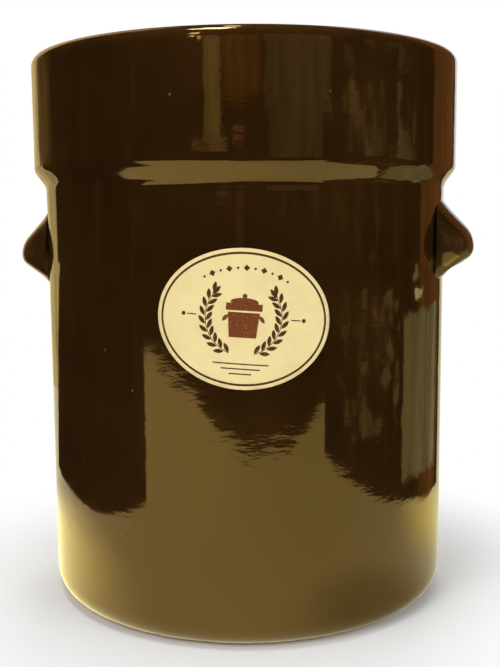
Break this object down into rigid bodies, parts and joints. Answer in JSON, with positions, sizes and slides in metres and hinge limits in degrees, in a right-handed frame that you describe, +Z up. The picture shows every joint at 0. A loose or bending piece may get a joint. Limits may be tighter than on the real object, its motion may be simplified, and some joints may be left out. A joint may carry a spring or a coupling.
{
  "type": "fermentation crock",
  "caption": "Tall glazed stoneware crock with a water-channel collar, lug handles, a lid that stands in the channel, half-round weights and an oval paper label.",
  "frame": {"origin": "centre of the crock's axis on the surface that it stands on", "axes": "+Z up along the crock's axis; the label is on the -Y side, 8 degrees towards +X; the handles stand out at -X and +X"},
  "size_m": [0.2916, 0.268, 0.3509],
  "materials": {
    "brown_glaze": "glossy dark brown salt-type glaze",
    "cream_paper": "satin printed paper",
    "bare_stoneware": "unglazed fired clay, matte"
  },
  "bodies": {
    "crock": {"crock_body": "brown_glaze", "water_channel_collar": "brown_glaze", "handle_left": "brown_glaze", "handle_right": "brown_glaze", "label": "cream_paper"},
    "lid": {"lid": "brown_glaze", "lid_knob": "brown_glaze"},
    "weight_left": {"weight_left": "bare_stoneware"},
    "weight_right": {"weight_right": "bare_stoneware"}
  },
  "joints": [
    {"name": "lid_lift", "type": "slide", "parent": "crock", "child": "lid", "axis": [0, 0, 1], "range_m": [0, 0.12]},
    {"name": "weight_left_lift", "type": "slide", "parent": "crock", "child": "weight_left", "axis": [0, 0, 1], "range_m": [0, 0.27]},
    {"name": "weight_right_lift", "type": "slide", "parent": "crock", "child": "weight_right", "axis": [0, 0, 1], "range_m": [0, 0.27]}
  ]
}
